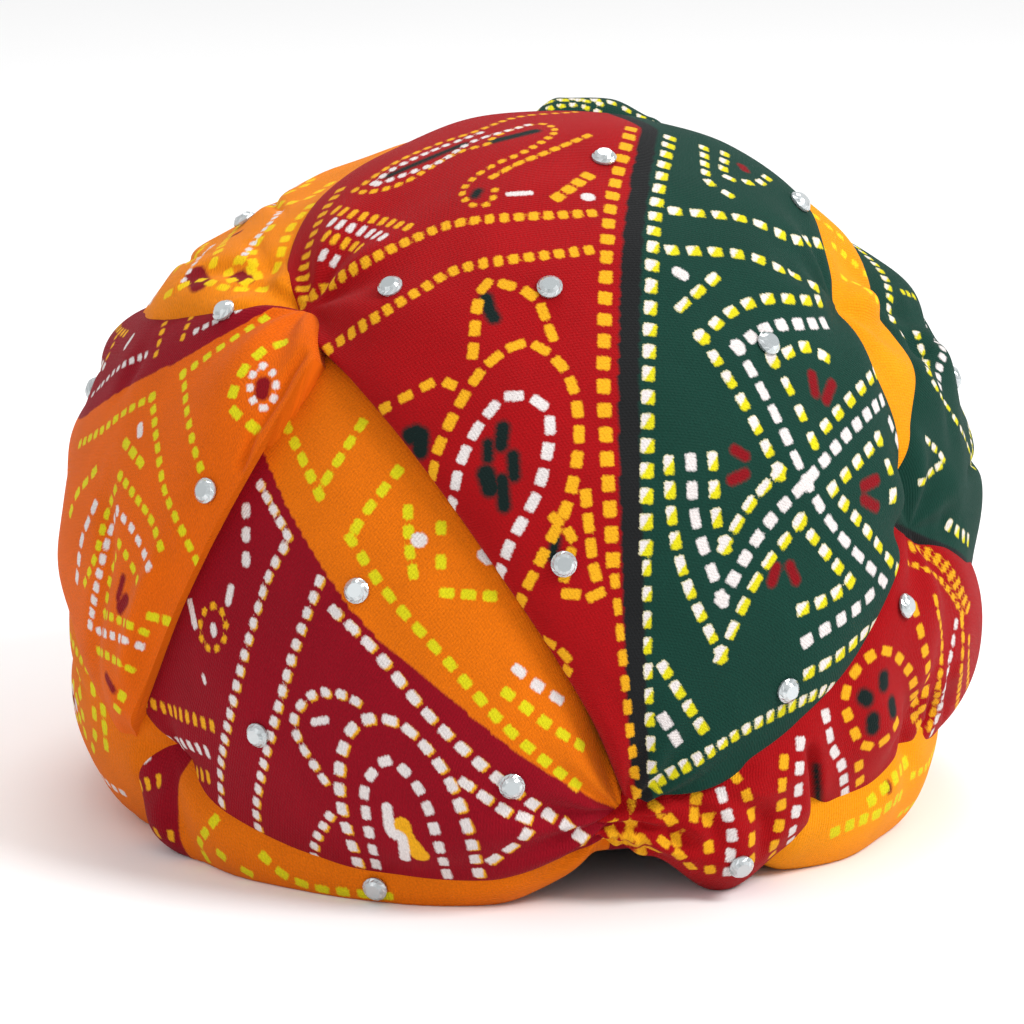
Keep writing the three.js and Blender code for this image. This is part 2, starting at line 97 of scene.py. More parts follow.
# Each fold is a table of sections; steps and sides are the visible mesh's rows and columns,
# and drapes gives long creases: their count, their depth and the share of the length where they start
FOLDS = {
    "crown_back_wrap": dict(seat=0, fullness=3, steps=200, sides=150, drapes=(4, 2.6, 0.26), sections=[
        row(-54, 50, -54, 42, 4),
        row(-60, 61, -70, 39, 9, rise2=24),
        row(-72, 72, -86, 35, 10, rise2=28),
        row(-100, 82, -106, 29, 8, rise2=20),
        row(-150, 86, -135, 22, 9),
        row(170, 86, -168, 20, 11),
        row(130, 82, 158, 22, 12),
        row(110, 74, 132, 30, 10),
        row(100, 66, 112, 40, 6),
    ]),
    "lower_back_wrap": dict(seat=0, fullness=3, steps=300, sides=100, drapes=(2, 2.4, 0.16), sections=[
        row(-66, -15, -66, -27, 6),
        row(-76, -6, -76, -31, 13),
        row(-87, 2, -87, -33, 16),
        row(-108, 6, -108, -33, 15),
        row(-145, 8, -145, -33, 12),
        row(180, 8, 180, -33, 12),
        row(145, 6, 145, -33, 12),
        row(110, 3, 110, -33, 11),
        row(82, -1, 82, -32, 9),
        row(66, -6, 66, -28, 5),
    ]),
    "right_rim_roll": dict(seat=0, fullness=2, steps=180, sides=60, sections=[
        row(14, -20, 14, -25, 5),
        row(24, -16, 24, -31, 12),
        row(36, -13, 36, -34, 14),
        row(50, -12, 50, -34, 13),
        row(70, -14, 70, -33, 11),
        row(88, -20, 88, -28, 9),
    ]),
    "left_rim_roll": dict(seat=0, fullness=2, steps=220, sides=60, sections=[
        row(-82, -18, -81, -27, 6),
        row(-72, -14, -72, -32, 16),
        row(-60, -18, -60, -34, 15),
        row(-46, -21, -46, -34, 14),
        row(-32, -22, -32, -34, 13),
        row(-18, -21, -18, -31, 11),
        row(-4, -18, -4, -24, 6),
    ]),
    "left_front_wrap": dict(seat=0, fullness=3.4, steps=230, sides=200, sections=[
        row(-2, -15, -4, -21, 9, rise1=7, rise2=8),
        row(-6, -6, -12, -25, 13, rise1=7, rise2=11),
        row(-9, 4, -22, -28, 15, rise1=7, rise2=14),
        row(-13, 14, -34, -30, 15, rise1=7, rise2=15),
        row(-19, 24, -47, -29, 13, rise1=7, rise2=16),
        row(-28, 34, -60, -26, 11, rise1=7, rise2=15),
        row(-41, 43, -73, -19, 9, rise1=6, rise2=12),
        row(-60, 48, -86, -8, 8, rise1=5, rise2=8),
    ]),
    "right_tuck_strip": dict(seat=0, fullness=3, steps=170, sides=60, sections=[
        row(38, 14, 46, 15, 7),
        row(39, 24, 56, 23, 10),
        row(40, 34, 66, 30, 12),
        row(43, 44, 77, 36, 13),
        row(52, 53, 90, 41, 14),
        row(74, 60, 103, 45, 15),
        row(96, 66, 116, 50, 15),
        row(116, 68, 124, 58, 13),
    ]),
    "left_flap": dict(seat=10, fullness=5, steps=330, sides=160, drapes=(3, 2.6, 0.44), sections=[
        row(-48, 38, -76, -16, 14, rise2=15, middle=(-57, 14)),
        row(-55, 45, -80, -15, 16, rise2=18, middle=(-64, 15)),
        row(-70, 43, -86, -10, 16, rise2=19, middle=(-76, 16)),
        row(-88, 39, -93, -4, 16, rise2=18, middle=(-90, 17)),
        row(-108, 35, -110, -1, 16, rise2=17, middle=(-109, 17)),
        row(-135, 32, -136, 0, 15, middle=(-136, 16)),
        row(-165, 28, -166, -2, 15, middle=(-166, 13)),
        row(166, 20, 165, -3, 13, middle=(165, 9)),
    ]),
    "right_back_fold": dict(seat=4, fullness=2.8, steps=300, sides=140, drapes=(3, 2.8, 0.22), sections=[
        row(42, 19, 41, 10, 9),
        row(50, 27, 48, 4, 13),
        row(60, 35, 58, -1, 16, rise1=17),
        row(73, 43, 71, -4, 18, rise1=20),
        row(90, 48, 89, -5, 18, rise1=21),
        row(115, 47, 114, -4, 18),
        row(145, 40, 144, -2, 18),
        row(172, 31, 172, 2, 19),
        row(-166, 22, -165, 8, 17),
    ]),
    "right_front_roll": dict(seat=2, fullness=2.4, steps=300, sides=110, pleats=3, sections=[
        row(-6, -16, -7, -21, 10),
        row(2, -12, 3, -25, 13),
        row(12, -7, 13, -31, 16),
        row(19, -4, 21, -27, 15),
        row(25, 0, 27, -24, 12),
        row(33, 7, 35, -22, 15),
        row(41, 16, 43, -20, 14),
        row(54, 12, 57, -21, 16),
        row(70, 5, 72, -21, 17),
        row(90, -2, 92, -20, 16),
        row(108, -8, 109, -15, 14),
    ]),
    "top_tuck": dict(seat=6, fullness=2, steps=90, sides=40, sections=[
        row(165, 86, 160, 74, 14),
        row(130, 84, 144, 71, 20),
        row(112, 79, 129, 67, 21),
        row(105, 74, 117, 64, 18),
        row(102, 70, 110, 63, 14),
    ]),
    "front_panel": dict(seat=8, fullness=4, steps=330, sides=240, sections=[
        row(-3, -14.5, 0.5, -15, 12, middle=(-1.5, -14.5)),
        row(-7, -5, 11, -13, 14, rise1=13, rise2=14, middle=(-2, -6)),
        row(-12, 4, 21, -7, 15, rise1=14, rise2=16, middle=(-1, 2)),
        row(-18, 13, 32, 1, 15, rise1=14, rise2=17, middle=(1, 11)),
        row(-25, 22, 41, 12, 15, rise1=14, rise2=17, middle=(4, 21)),
        row(-33, 30, 46, 24, 15, rise1=13, rise2=17, middle=(6, 31)),
        row(-43, 37, 49, 36, 15, rise1=13, rise2=17, middle=(8, 42)),
        row(-56, 43, 57, 45, 16, rise1=13, rise2=18, middle=(10, 54)),
        row(-69, 51, 76, 52, 17, rise1=13, rise2=20, middle=(15, 66)),
        row(-82, 60, 92, 58, 19, rise1=14, rise2=20, middle=(25, 77)),
        row(-104, 71, 106, 64, 18, rise1=14, rise2=17, middle=(90, 83)),
    ]),
}

# Hollows pressed into the outer faces, with the count and depth of the creases that run out of each
DENTS = [
    dict(name="left pinch", az=-57, el=46, reach=13, depth=5, creases=7, crease_depth=1.3),
    dict(name="panel dimple", az=50, el=42, reach=13, depth=5, creases=6, crease_depth=1.2),
    dict(name="front gather", az=-3, el=-17, reach=13, depth=3, creases=13, crease_depth=1.1),
    dict(name="right pinch", az=46, el=12, reach=11, depth=5, creases=6, crease_depth=1.4),
    dict(name="hollow over the right fold", az=68, el=37, reach=11, depth=4, creases=5, crease_depth=1.3),
    dict(name="right rim crease", az=43, el=-12, reach=9, depth=4, creases=5, crease_depth=1.0),
    dict(name="left rim gap", az=-69, el=-17, reach=9, depth=4, creases=5, crease_depth=1.0),
]


def direction(az, el):
    """Unit directions from the turban's heart, azimuth from the front towards +X, in degrees."""
    a, e = np.radians(az), np.radians(el)
    return np.stack([np.sin(a) * np.cos(e), -np.cos(a) * np.cos(e), np.sin(e) + 0 * a], axis=-1)


def unit(v):
    return v / np.linalg.norm(v, axis=-1, keepdims=True)


def body_radius(d):
    across = np.hypot(d[..., 0] / (BODY_WIDTH / 2), d[..., 1] / (BODY_LENGTH / 2))
    along = np.where(d[..., 2] > 0, d[..., 2] / (BODY_TOP - HEART[2]), -d[..., 2] / SKIRT_DROP)
    return (across**ROUNDNESS + along**ROUNDNESS) ** (-1 / ROUNDNESS)


def place_on(d, rise):
    return HEART + d * (body_radius(d) + rise)[..., None]


def spine(points, t):
    """Centripetal Catmull-Rom curve through the points, at the shares t."""
    pts = np.vstack([2 * points[0] - points[1], points, 2 * points[-1] - points[-2]])
    place = t * (len(points) - 1)
    i = np.minimum(place.astype(int), len(points) - 2)
    w = (place - i)[:, None]
    p0, p1, p2, p3 = (pts[i + k] for k in range(4))
    d0, d1, d2 = (np.maximum(np.sqrt(np.linalg.norm(b - a, axis=1)), 1e-4)[:, None]
                  for a, b in ((p0, p1), (p1, p2), (p2, p3)))
    m1 = ((p1 - p0) / d0 - (p2 - p0) / (d0 + d1) + (p2 - p1) / d1) * d1
    m2 = ((p2 - p1) / d1 - (p3 - p1) / (d1 + d2) + (p3 - p2) / d2) * d1
    c2 = -3 * p1 + 3 * p2 - 2 * m1 - m2
    c3 = 2 * p1 - 2 * p2 + m1 + m2
    return unit(p1 + m1 * w + c2 * w**2 + c3 * w**3)


def column(sections, key, t):
    """A table column between its rows, eased from row to row."""
    values = np.array([s[key] for s in sections], float)
    place = t * (len(values) - 1)
    i = np.minimum(place.astype(int), len(values) - 2)
    w = place - i
    return values[i] + (values[i + 1] - values[i]) * w * w * (3 - 2 * w)


def bowed(first, middle, second, v):
    return first * (1 - v) * (1 - 2 * v) + middle * 4 * v * (1 - v) + second * v * (2 * v - 1)


WAVES = [(unit(RNG.normal(size=3)) * 2 * math.pi / RNG.uniform(22, 60), RNG.uniform(0, 2 * math.pi))
         for _ in range(14)]


def softness(points):
    """Slow hand-made unevenness of padded cloth, about half a millimetre."""
    return sum(np.sin(points @ k + phase) for k, phase in WAVES) * UNEVENNESS


def pinches(d):
    """How far the pinches and the creases out of them press the cloth in."""
    depth = np.zeros(d.shape[:-1])
    for k, dent in enumerate(DENTS):
        c = direction(dent["az"], dent["el"])
        side = unit(np.cross(c, [0, 0, 1.0]))
        up = np.cross(side, c)
        r = body_radius(d)
        x, y = (d @ side) * r, (d @ up) * r
        distance = np.where(d @ c > 0, np.hypot(x, y), 1e3)
        halo = np.exp(-((distance - CREASE_RING) / CREASE_SPREAD) ** 2)
        halo *= np.minimum(1, distance / CREASE_CORE)
        wave = np.cos(dent["creases"] * np.arctan2(y, x) + 1.7 * k)
        depth += dent["depth"] * np.exp(-((distance / dent["reach"]) ** 2))
        depth += dent["crease_depth"] * halo * wave
    return depth


def ease(share):
    share = np.clip(share, 0, 1)
    return share * share * (3 - 2 * share)


def drape_depth(drapes, t, v):
    """Long creases that run with a wrap, from a share of its length on: count, depth and that share."""
    count, depth, start = drapes
    fade = ease((t - start) / DRAPE_FADE_IN) * (1 - ease((t - 1 + DRAPE_FADE_OUT) / DRAPE_FADE_OUT))
    wander = 0.05 * np.sin(2 * math.pi * (1.3 * t + 0.2)) + 0.015 * np.sin(2 * math.pi * 4.1 * t)
    valley = (1 - np.abs(np.sin(math.pi * (count * (v + wander) + 0.3)))) ** 5
    swell = 0.35 * np.sin(2 * math.pi * (count * v + 2.2 * t))
    return depth * fade * (valley + swell)


class Cloth:
    """One fold's outer face as a grid of points in millimetres, with places along (t) and across (v) it."""

    def __init__(self, name):
        self.name = name
        spec = FOLDS[name]
        rows = spec["sections"]
        t = np.linspace(0, 1, spec["steps"] + 1)
        s = np.linspace(0, 1, spec["sides"] + 1)
        v = EVEN_SHARE * s + (1 - EVEN_SHARE) * (1 - np.cos(math.pi * s)) / 2
        edge = [direction(*np.array([r["edges"][n] for r in rows], float).T) for n in (0, 1)]
        mid = unit(edge[0] + edge[1])
        for i, r in enumerate(rows):
            if r["middle"]:
                mid[i] = direction(*map(float, r["middle"]))
        a, m, b = (spine(x, t)[:, None, :] for x in (edge[0], mid, edge[1]))
        vv = v[None, :, None]
        self.t, self.v = t, v
        self.d = unit(bowed(a, m, b, vv))
        heights = (column(rows, key, t)[:, None] for key in ("rise1", "rise", "rise2"))
        height = bowed(*heights, v[None, :]) - spec["seat"]
        rounding = np.sqrt(np.maximum(0, 1 - np.abs(2 * v - 1) ** spec["fullness"]))[None, :]
        pleats = spec.get("pleats", 0)
        if pleats:
            fade = np.maximum(0, 1 - t / PLEAT_REACH)[:, None]
            height = height + PLEAT_DEPTH * np.cos(2 * math.pi * pleats * v)[None, :] * fade
        if "drapes" in spec:
            height = height - drape_depth(spec["drapes"], t[:, None], v[None, :])
        base = place_on(self.d, np.zeros(self.d.shape[:2]))
        rise = spec["seat"] + (height + softness(base)) * rounding - pinches(self.d)
        self.grid = place_on(self.d, rise)
        under = np.linspace(1, 0, UNDER_COLUMNS)[None, :, None]
        self.root = place_on(unit(bowed(a, m, b, under)), np.full((len(t), UNDER_COLUMNS), ROOT_DEPTH))
        for g in (self.grid, self.root):
            g[..., 2] = np.maximum(g[..., 2], FLOOR_CLEAR)
        self.settle()

    def settle(self):
        """Works out the places, normals and search tree of the face as it lies."""
        self.flat = self.grid.reshape(-1, 3)
        du = np.gradient(self.grid, axis=0)
        dv = np.gradient(self.grid, axis=1)
        n = np.cross(du, dv)
        n *= np.sign((n * self.d).sum(-1, keepdims=True) + 1e-9)
        self.normal = unit(n + 1e-12).reshape(-1, 3)
        self.along, self.across = self.lengths(0), self.lengths(1)
        self.ink = {k: np.full(len(self.flat), NO_INK) for k in INKS}
        self.side = np.full(self.grid.shape[:2], ONE_GROUND)
        coarse = self.grid[::3, ::3]
        h, w = coarse.shape[:2]
        quads = [(i * w + j, i * w + j + 1, (i + 1) * w + j + 1, (i + 1) * w + j)
                 for i in range(h - 1) for j in range(w - 1)]
        self.tree = BVHTree.FromPolygons([Vector(p) for p in coarse.reshape(-1, 3)], quads)

    def lengths(self, axis):
        """Distance over the cloth from its first row or column, in millimetres."""
        steps = np.linalg.norm(np.diff(self.grid, axis=axis), axis=2)
        return np.insert(np.cumsum(steps, axis=axis), 0, 0.0, axis=axis)

    def crease(self, points, depth, width):
        """Presses a crease along a line into the face, or raises a ridge."""
        if len(points) < 2:
            return
        pts = np.array(points)
        near = np.full(len(self.flat), 1e9)
        for a, b in zip(pts, pts[1:]):
            span = b - a
            share = np.clip((self.flat - a) @ span / max(span @ span, 1e-9), 0, 1)
            near = np.minimum(near, ((self.flat - a - share[:, None] * span) ** 2).sum(1))
        ends = np.minimum(((self.flat - pts[0]) ** 2).sum(1), ((self.flat - pts[-1]) ** 2).sum(1))
        fade = 1 - np.exp(-ends / (2 * width) ** 2)
        press = (depth * np.exp(-near / width**2) * fade).reshape(self.grid.shape[:2])
        self.grid = self.grid - self.d * press[..., None]
        self.grid[..., 2] = np.maximum(self.grid[..., 2], FLOOR_CLEAR)

    def nearest(self, point):
        k = int(np.argmin(((self.flat - point) ** 2).sum(1)))
        return k, divmod(k, len(self.v))

    def at(self, t, v):
        """Point on the grid at shares t and v."""
        i = min(max(int(round(t * (len(self.t) - 1))), 0), len(self.t) - 1)
        j = int(np.argmin(np.abs(self.v - v)))
        return self.grid[i, j]

    def seen_at(self, pixel):
        """Where the photo's pixel meets this fold, or None."""
        hit = self.tree.ray_cast(Vector(CAMERA), Vector(pixel_ray(pixel)))
        return None if hit[0] is None else np.array(hit[0])

    def toward(self, az, el):
        hit = self.tree.ray_cast(Vector(HEART), Vector(direction(float(az), float(el))))
        return None if hit[0] is None else np.array(hit[0])

    def divide(self, points, from_edge=False):
        """side = signed distance across the cloth from a line through the points, in millimetres.

        With from_edge, the line starts on the first edge at the fold's first end."""
        places = sorted((self.t[ij[0]], self.v[ij[1]]) for ij in (self.nearest(p)[1] for p in points))
        if from_edge:
            places.insert(0, (0.0, -0.05))
        ts, vs = np.array(places).T
        v_line = np.interp(self.t, ts, vs)
        here = np.array([np.interp(x, self.v, across) if x >= 0 else -1.0
                         for x, across in zip(v_line, self.across)])
        self.side = self.across - here[:, None]

    def stamp(self, ink, centre, along, length, width, soft=0.55, toward=None, keep=0.0):
        """One printed dot: a rounded oblong on the cloth, kept as a distance to its edge.

        With toward, only the part that lies that way from its centre."""
        gap = self.flat - centre
        near = np.nonzero((gap**2).sum(1) < (max(length, width) - NO_INK) ** 2)[0]
        if not len(near):
            return
        k = near[np.argmin((gap[near] ** 2).sum(1))]
        n = self.normal[k]
        along = along - n * (along @ n)
        size = np.linalg.norm(along)
        if size < 1e-6:
            return
        along = along / size
        x = np.abs(gap[near] @ along) - (length / 2 - soft)
        y = np.abs(gap[near] @ np.cross(n, along)) - (width / 2 - soft)
        inside = np.minimum(np.maximum(x, y), 0)
        distance = np.hypot(np.maximum(x, 0), np.maximum(y, 0)) + inside - soft
        if toward is not None:
            distance = np.maximum(distance, keep - gap[near] @ toward)
        self.ink[ink][near] = np.maximum(self.ink[ink][near], -distance)


def camera_axes():
    a, e = math.radians(CAMERA_AZIMUTH), math.radians(CAMERA_ELEVATION)
    back = np.array([math.sin(a) * math.cos(e), -math.cos(a) * math.cos(e), math.sin(e)])
    right = np.array([math.cos(a), math.sin(a), 0.0])
    return back, right, np.cross(back, right)


BACK, RIGHT, UP = camera_axes()
CAMERA = CAMERA_TARGET + BACK * CAMERA_DISTANCE
FOCAL_PIXELS = PIXELS_PER_MM * CAMERA_DISTANCE


def pixel_ray(pixel):
    x, y = (pixel[0] - PHOTO_SIZE / 2) / FOCAL_PIXELS, (PHOTO_SIZE / 2 - pixel[1]) / FOCAL_PIXELS
    return unit(-BACK + RIGHT * x + UP * y)


# Printed dots: length along their line, width across it and pitch, in millimetres
DOTS = dict(
    border=(4.2, 3.6, 6.9),
    cross=(2.6, 3.6, 4.1),
    loop=(5.0, 2.9, 7.0),
    lace=(3.0, 2.4, 4.6),
    edge=(4.0, 2.8, 6.3),
    slim=(4.2, 2.3, 6.6),
    green=(4.2, 3.4, 6.6),
    dash=(2.0, 3.8, 3.7),
    fine=(2.3, 2.0, 3.7),
    bar=(3.4, 2.0, 4.6),
    spot=(3.6, 3.6, 5.6),
)


def ring(x, y, wide, tall):
    """Pixels round an upright oval."""
    turns = np.linspace(0, 2 * math.pi, 13)
    return [(x + wide * math.sin(a), y - tall * math.cos(a)) for a in turns]


# Dotted lines of the print, charted, a row for each: its name, its ink, its kind of dot and
# the photo's pixels that it runs through, or ring with a middle and its half-sizes
LINES = dict(
    front_panel="""
    red border: yellow border 631,129 610,212 604,344 605,420 613,560
    red border, tip: yellow slim 615,581 622,650 630,730 638,799
    upper cross line: yellow cross 302,303 355,268 415,238 470,221 592,213
    lower cross line: yellow cross 328,349 373,319 422,289 470,266 589,250
    left edge: yellow dash 340,190 322,215 307,254 302,300
    first dash row: yellow dash 336,210 408,227
    second dash row: white dash 332,222 383,237
    third dash row: yellow dash 326,236 359,248
    fourth dash row: white dash 323,255 335,261
    long bar, under: yellow fine 355,190 370,192 405,182 452,155 487,144
    long bar, over: yellow fine 355,190 395,163 435,145 474,132 518,117 575,112
    long bar, white under: white fine 378,184 409,173 441,161 474,141 528,125
    long bar, white over: white fine 374,183 395,168 434,150 480,133
    short bar: yellow fine 487,144 496,136 520,127 543,124 555,132 526,151 498,163 475,177 \
        462,193 473,205 490,203 495,190
    short bar, tail: yellow bar 494,176 517,164 545,153 587,136
    steps: yellow spot 558,197 588,176
    small loop: yellow loop 473,351 478,303 488,283 504,284 535,298 551,333
    great drop: yellow loop 433,471 440,444 466,393 494,359 530,344 567,374 579,431 569,499 \
        547,547 525,591 516,612
    inner drop: white loop 450,517 460,465 481,423 508,397 541,404 550,431 538,490 511,542 \
        500,572
    left loop: yellow edge 385,408 409,395 437,381 450,384
    right column: yellow loop 586,498 593,563 599,593 571,594
    inner column: yellow edge 556,520 572,540 565,575
    low hook: yellow edge 534,641 549,643 569,662 561,680
    green border: both border 670,138 656,210 651,299 648,409 646,548
    green border, tip: both slim 647,568 648,660 652,782
    green upper cross line: both green 675,211 744,219 790,238 818,243
    green lower cross line: both green 672,250 730,253 764,261 814,286
    upper marks: both loop 713,279 683,305
    outer arc: both green 702,337 731,312 767,299 819,301
    middle arc: white green 738,347 770,327 824,323
    inner arc: both green 773,360 804,347 824,356
    first down line: both loop 702,337 744,404 779,472
    second down line: white loop 738,347 776,416 826,516 883,581
    third down line: both loop 773,360 794,398 813,441
    first up line: both green 826,426 852,398 875,373
    second up line: white green 722,599 763,530 807,481 845,437 882,400
    third up line: both green 833,489 858,462 879,439
    lower left line: both loop 779,472 750,504 725,545
    lower middle line: both loop 800,522 758,578 721,655
    left outer arc: both loop 669,465 673,526 688,586 721,655
    left middle arc: white loop 691,462 696,522 722,599
    left inner arc: both loop 713,461 717,519 725,545
    right line: both green 844,504 872,537 897,570
    right inner arc: both green 879,439 892,476 893,496
    right outer arc: white green 891,424 904,461 910,498
    bottom inner line: both green 800,522 826,553 850,581
    bottom return: both green 837,593 821,602 803,609
    bottom middle line: white green 870,596 855,610 807,641
    bottom outer line: both green 881,616 869,629 840,655 809,673
    lower border: both cross 660,779 702,757 756,724 838,684
    low marks: both loop 665,670 701,726
    low white marks: white loop 665,721 676,739
    small top motif: both edge 725,154 726,176 756,183 767,178
    small top arc: both edge 704,148 708,180 728,194
    """,
    left_front_wrap="""
    vee, first arm: yellow edge 287,427 319,494
    vee, second arm: yellow edge 327,478 361,425
    long line: yellow edge 351,540 387,593 448,662 510,731 575,785
    long line, upper turn: yellow edge 397,472 369,508 357,526
    first column: yellow edge 408,512 409,545 413,572
    second column: yellow edge 441,528 441,562
    cross row: yellow edge 447,593 490,596
    white row: white edge 519,671 538,686 557,698
    low row: yellow edge 508,694 549,725 580,745
    crimson upper line: fringe edge 335,612 374,650 432,719 498,779 580,836
    first lace, head: fringe lace 260,485 287,535
    first lace: fringe lace 283,548 265,584 239,674 221,758 221,802
    second lace: fringe lace 319,581 296,643 271,732 256,802 261,843
    first dash row: yellow dash 145,701 212,726
    second dash row: white dash 159,735 207,752
    third dash row: yellow dash 173,763 208,777
    floret ring: yellow fine ring 213,628 13,22
    small loop: fringe lace 323,779 299,741 294,716 313,694 340,694 355,701
    great drop: fringe edge 357,862 342,812 339,768 350,730 375,718 408,730 445,774 466,825 \
        478,873
    inner drop: white edge 376,864 367,821 366,785 389,761 422,795 447,874
    right loop: fringe edge 466,784 507,812 529,820 523,838 493,859
    low loop: fringe lace 329,816 316,838 314,853 319,866
    lower edge row: white fine 290,857 343,869 379,883 407,889
    """,
    left_flap="""
    top line: yellow lace 264,319 221,347 183,374
    second line: yellow lace 183,374 187,411 193,444 200,467
    first line, top: yellow lace 152,397 125,412 102,430 80,444
    first line: yellow lace 152,397 157,444 165,492 184,535 198,564
    ring: yellow edge 281,344 264,350 245,368 235,387 232,408 253,427
    ring, inner: white fine ring 263,387 13,21
    slant: yellow edge 126,444 140,462
    outer lozenge, right: yellow lace 120,476 138,500 151,520 160,546
    outer lozenge, left: yellow lace 120,476 106,517 96,554 85,582
    middle lozenge, right: white lace 117,511 132,529 143,551 148,566
    middle lozenge, left: white lace 117,511 105,550 96,588 90,625
    inner lozenge, right: yellow lace 119,544 132,566 137,580
    inner lozenge, left: yellow lace 119,544 110,581 105,614
    first row: yellow lace 105,614 144,632
    second row: white lace 99,631 140,646
    third row: yellow lace 99,651 130,669
    hem marks: yellow edge 153,617 167,621
    left arc: yellow edge 94,472 77,494 71,511
    left column: white edge 94,507 82,539 77,577
    low marks: yellow edge 122,696 117,709
    band, first column: yellow fine 180,300 166,320 156,354
    band, second column: yellow fine 199,304 188,324 183,337
    band, white row: white fine 146,355 120,367 93,394
    band, outer row: yellow fine 116,337 105,361 86,378
    band, front row: white fine 262,300 236,311 196,331
    """,
    crown_back_wrap="""
    edge stripe: yellow edge 310,206 288,232 277,268
    white stripe: white fine 280,212 262,232 245,254
    ring: yellow edge ring 240,272 12,12
    side stripe: yellow edge 240,225 222,245 214,262
    far stripe: yellow edge 205,245 190,262
    upper stripe: yellow edge 382,158 350,178
    roll row: yellow edge 168,294 198,280 226,288 262,290
    middle stripe: yellow edge 270,228 252,252 258,276
    second stripe: yellow edge 330,184 304,200 276,204
    outer stripe: yellow edge 222,226 198,246 176,270
    outer white stripe: white fine 212,246 196,262 184,280
    """,
    right_tuck_strip="""
    first line: yellow lace 834,246 852,261 871,279 883,287
    second line: yellow lace 844,278 868,291 889,317 907,346 914,360
    white marks: white edge 917,395 918,418
    upper line: yellow lace 790,200 815,216 840,236
    """,
    right_back_fold="""
    rim line: both fine 878,255 894,262 911,275 927,296
    first rail: both fine 926,295 941,317 952,344 962,395 970,433 974,467
    edge rail: yellow fine 903,292 918,299 938,318
    second rail: both bar 917,335 930,374 944,401 963,433 972,460
    hook: both bar 928,441 937,451 944,462 933,470 923,482
    low row: both dash 949,525 968,540
    """,
    right_front_roll="""
    ring: yellow edge 915,716 913,681 906,667 893,653 878,652 862,664 850,681 845,704 852,725 \
        861,743 876,746 890,735 896,724
    white column: white edge 826,716 833,749 842,767 846,805
    short column: yellow edge 859,766 860,783 858,798
    long rail: yellow edge 915,609 925,650 928,672 922,709 918,730
    white thread row: white bar 956,624 949,665 941,704 932,733
    far rail: yellow bar 962,622 963,648 959,689 953,726 940,759
    end rail: yellow bar 969,640 967,690 958,730
    first pleat: yellow edge 696,798 694,815
    second pleat: yellow edge 707,820 708,835 710,870
    third pleat: white edge 722,795 727,815 732,837 728,872
    fourth pleat: yellow edge 735,776 746,793 752,820 752,860
    fifth pleat: yellow edge 784,762 782,792 780,822 770,863
    sixth pleat: white edge 801,744 799,780 797,807 789,849
    gather marks: yellow edge 655,806 672,822 676,840
    gather, middle row: yellow edge 630,822 638,836 642,852
    gather, low row: yellow edge 664,842 678,854 690,866
    gather, tip row: yellow edge 612,832 617,846
    upper lace: yellow dash 912,547 938,560 955,581 968,608
    upper lace, under: yellow fine 908,562 934,574 950,592 962,614
    inner rail: yellow bar 936,600 942,640 938,690 930,726
    """,
    right_rim_roll="""
    spots: yellow spot 835,832 857,822 881,812 900,796
    upper spots: yellow spot 872,800 895,778 905,763
    """,
    left_rim_roll="""
    crimson spots: yellow edge 141,736 136,755
    white spots: white edge 148,745 147,757
    crimson dashes: yellow dash 132,788 159,781
    lower dashes: yellow dash 157,833 171,836
    upper row: yellow edge 214,821 200,842 206,857
    first row: yellow edge 221,855 233,864 247,872
    second row: yellow edge 265,858 286,876 317,888 354,893 386,896
    """,
    lower_back_wrap="""
    first column: yellow edge 78,674 80,694 85,733
    second column: yellow edge 93,690 95,731 93,748
    third column: yellow edge 103,710 106,745
    """,
    top_tuck="""
    front row: both fine 545,103 570,99 600,104
    under row: both fine 550,108 575,105 598,112
    """,
)

